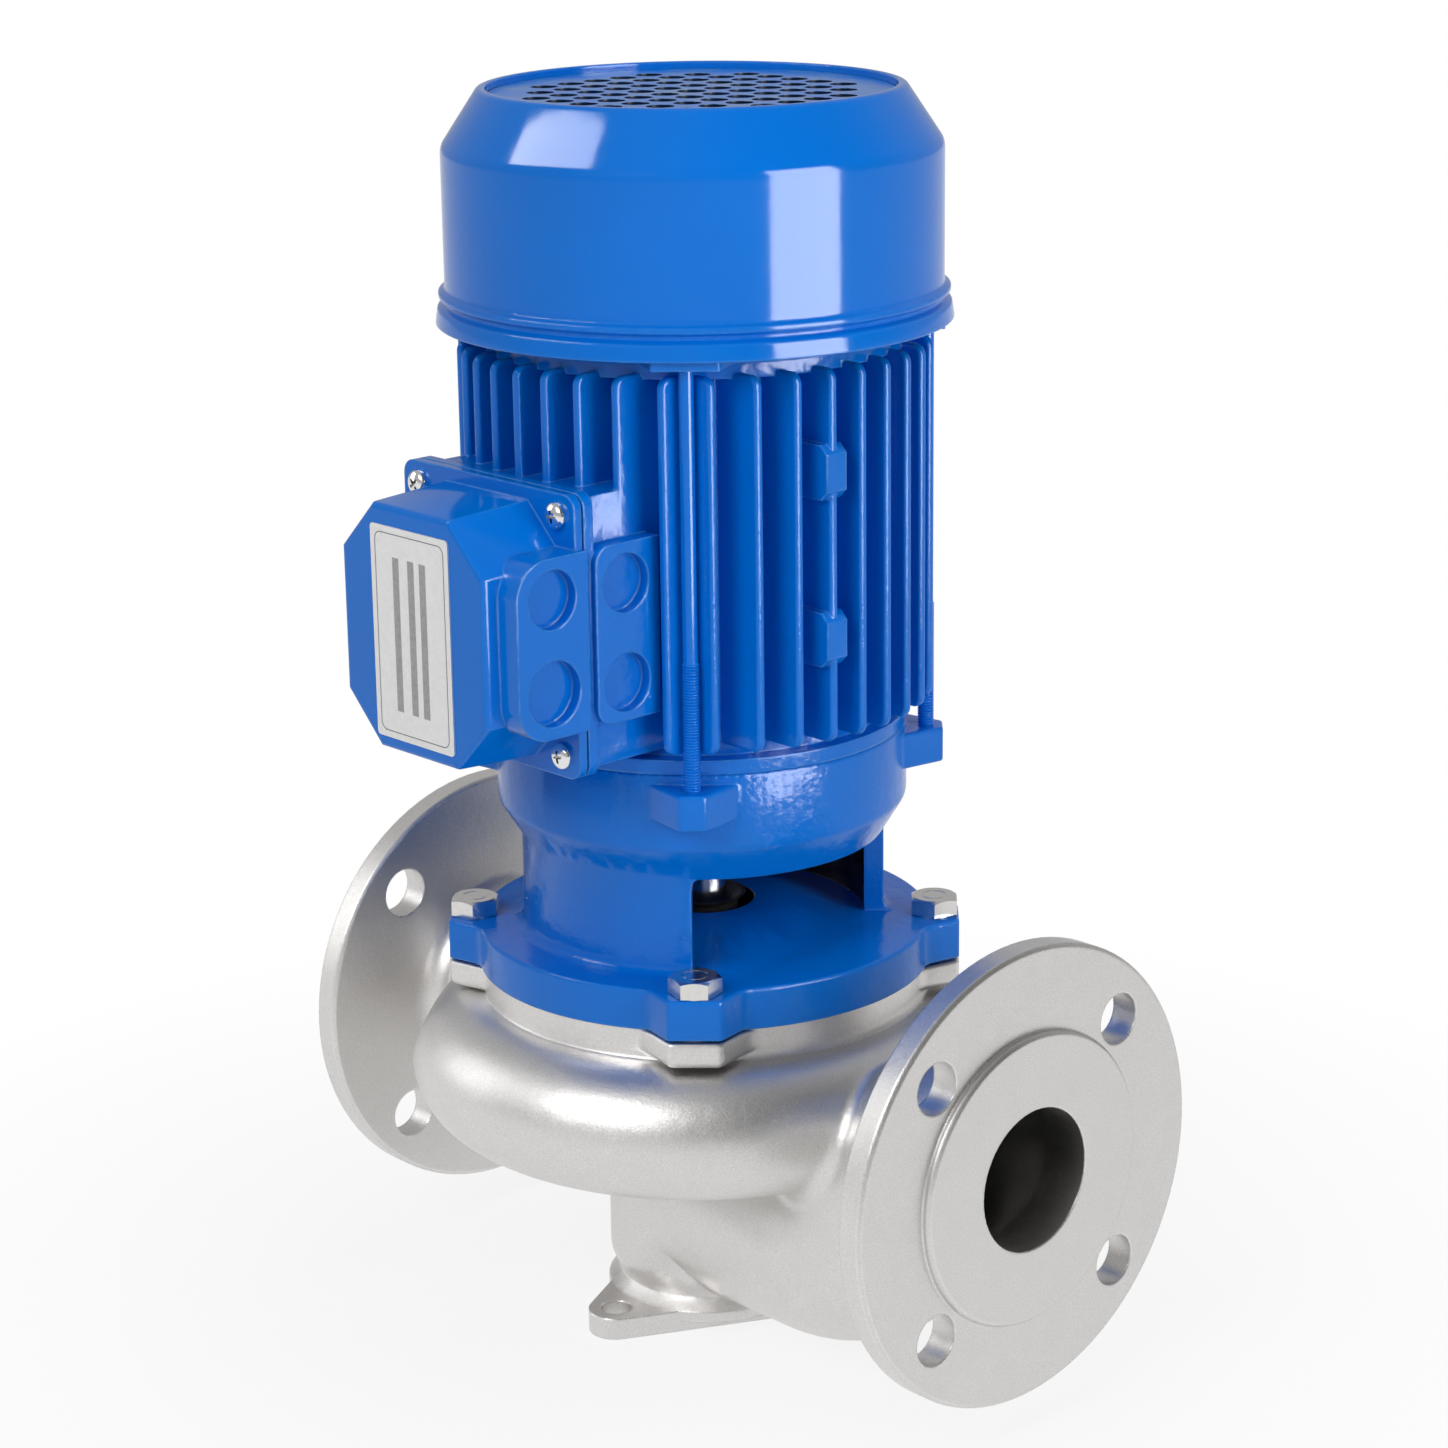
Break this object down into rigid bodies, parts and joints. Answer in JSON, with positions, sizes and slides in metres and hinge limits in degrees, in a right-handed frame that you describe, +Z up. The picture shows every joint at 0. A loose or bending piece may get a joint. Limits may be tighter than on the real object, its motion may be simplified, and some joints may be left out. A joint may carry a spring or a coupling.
{
  "type": "vertical in-line centrifugal pump",
  "caption": "Single-stage vertical in-line centrifugal pump: stainless volute casing with two pipe flanges, blue lantern and finned fan-cooled motor with a terminal box.",
  "frame": {"origin": "on the shaft axis at the underside of the foot", "axes": "+Z up the shaft, +X to the suction flange, -X to the discharge flange, -Y to the terminal box"},
  "size_m": [0.29, 0.2293, 0.4416],
  "materials": {
    "cast_stainless": "satin, as cast",
    "blue_paint": "gloss enamel",
    "bright_steel": "bright",
    "zinc_steel": "zinc plated",
    "plate_aluminium": "satin",
    "black_rubber": "matte",
    "seal_ceramic": "smooth",
    "seal_carbon": "smooth",
    "lamination_steel": "dull",
    "copper": "enamelled",
    "cast_aluminium": "as cast",
    "bearing_steel": "polished",
    "fan_plastic": "matte",
    "board_plastic": "matte",
    "terminal_brass": "bright"
  },
  "bodies": {
    "pump_housing": {"pump_casing": "cast_stainless", "wear_ring": "bright_steel", "seal_cover": "cast_stainless", "casing_o_ring": "black_rubber", "seal_seat": "seal_ceramic", "lantern": "blue_paint", "casing_bolts": "bright_steel", "motor_frame": "blue_paint", "stator_core": "lamination_steel", "stator_windings": "copper", "end_shield": "blue_paint", "tie_rods": "blue_paint", "tie_rod_nuts": "zinc_steel", "fan_cowl": "blue_paint", "fan_grille": "zinc_steel", "terminal_gasket": "black_rubber", "terminal_lid": "blue_paint", "lid_screws": "bright_steel", "nameplate": "plate_aluminium", "terminal_board": "board_plastic", "terminal_studs": "terminal_brass", "lower_bearing_outer_ring": "bearing_steel", "upper_bearing_outer_ring": "bearing_steel", "preload_washer": "bearing_steel"},
    "rotor": {"motor_shaft": "bright_steel", "rotor_core": "cast_aluminium", "lower_bearing_inner_ring": "bearing_steel", "upper_bearing_inner_ring": "bearing_steel", "impeller": "cast_stainless", "impeller_key": "bright_steel", "impeller_washer": "bright_steel", "impeller_nut": "bright_steel", "seal_head": "seal_carbon", "seal_spring": "bright_steel", "slinger": "black_rubber", "cooling_fan": "fan_plastic", "fan_clip": "zinc_steel"},
    "lower_ball_set": {"lower_bearing_balls": "bearing_steel", "lower_bearing_cage": "zinc_steel"},
    "upper_ball_set": {"upper_bearing_balls": "bearing_steel", "upper_bearing_cage": "zinc_steel"}
  },
  "joints": [
    {"name": "shaft_spin", "type": "hinge", "parent": "pump_housing", "child": "rotor", "pos_m": [0, 0, 0.2], "axis": [0, 0, 1], "continuous": true},
    {"name": "lower_cage_spin", "type": "hinge", "parent": "pump_housing", "child": "lower_ball_set", "pos_m": [0, 0, 0.201], "axis": [0, 0, 1], "continuous": true},
    {"name": "upper_cage_spin", "type": "hinge", "parent": "pump_housing", "child": "upper_ball_set", "pos_m": [0, 0, 0.358], "axis": [0, 0, 1], "continuous": true}
  ],
  "couplings": [
    {"joint": "lower_cage_spin", "follows": "shaft_spin", "ratio": 0.39691},
    {"joint": "upper_cage_spin", "follows": "shaft_spin", "ratio": 0.38152}
  ]
}
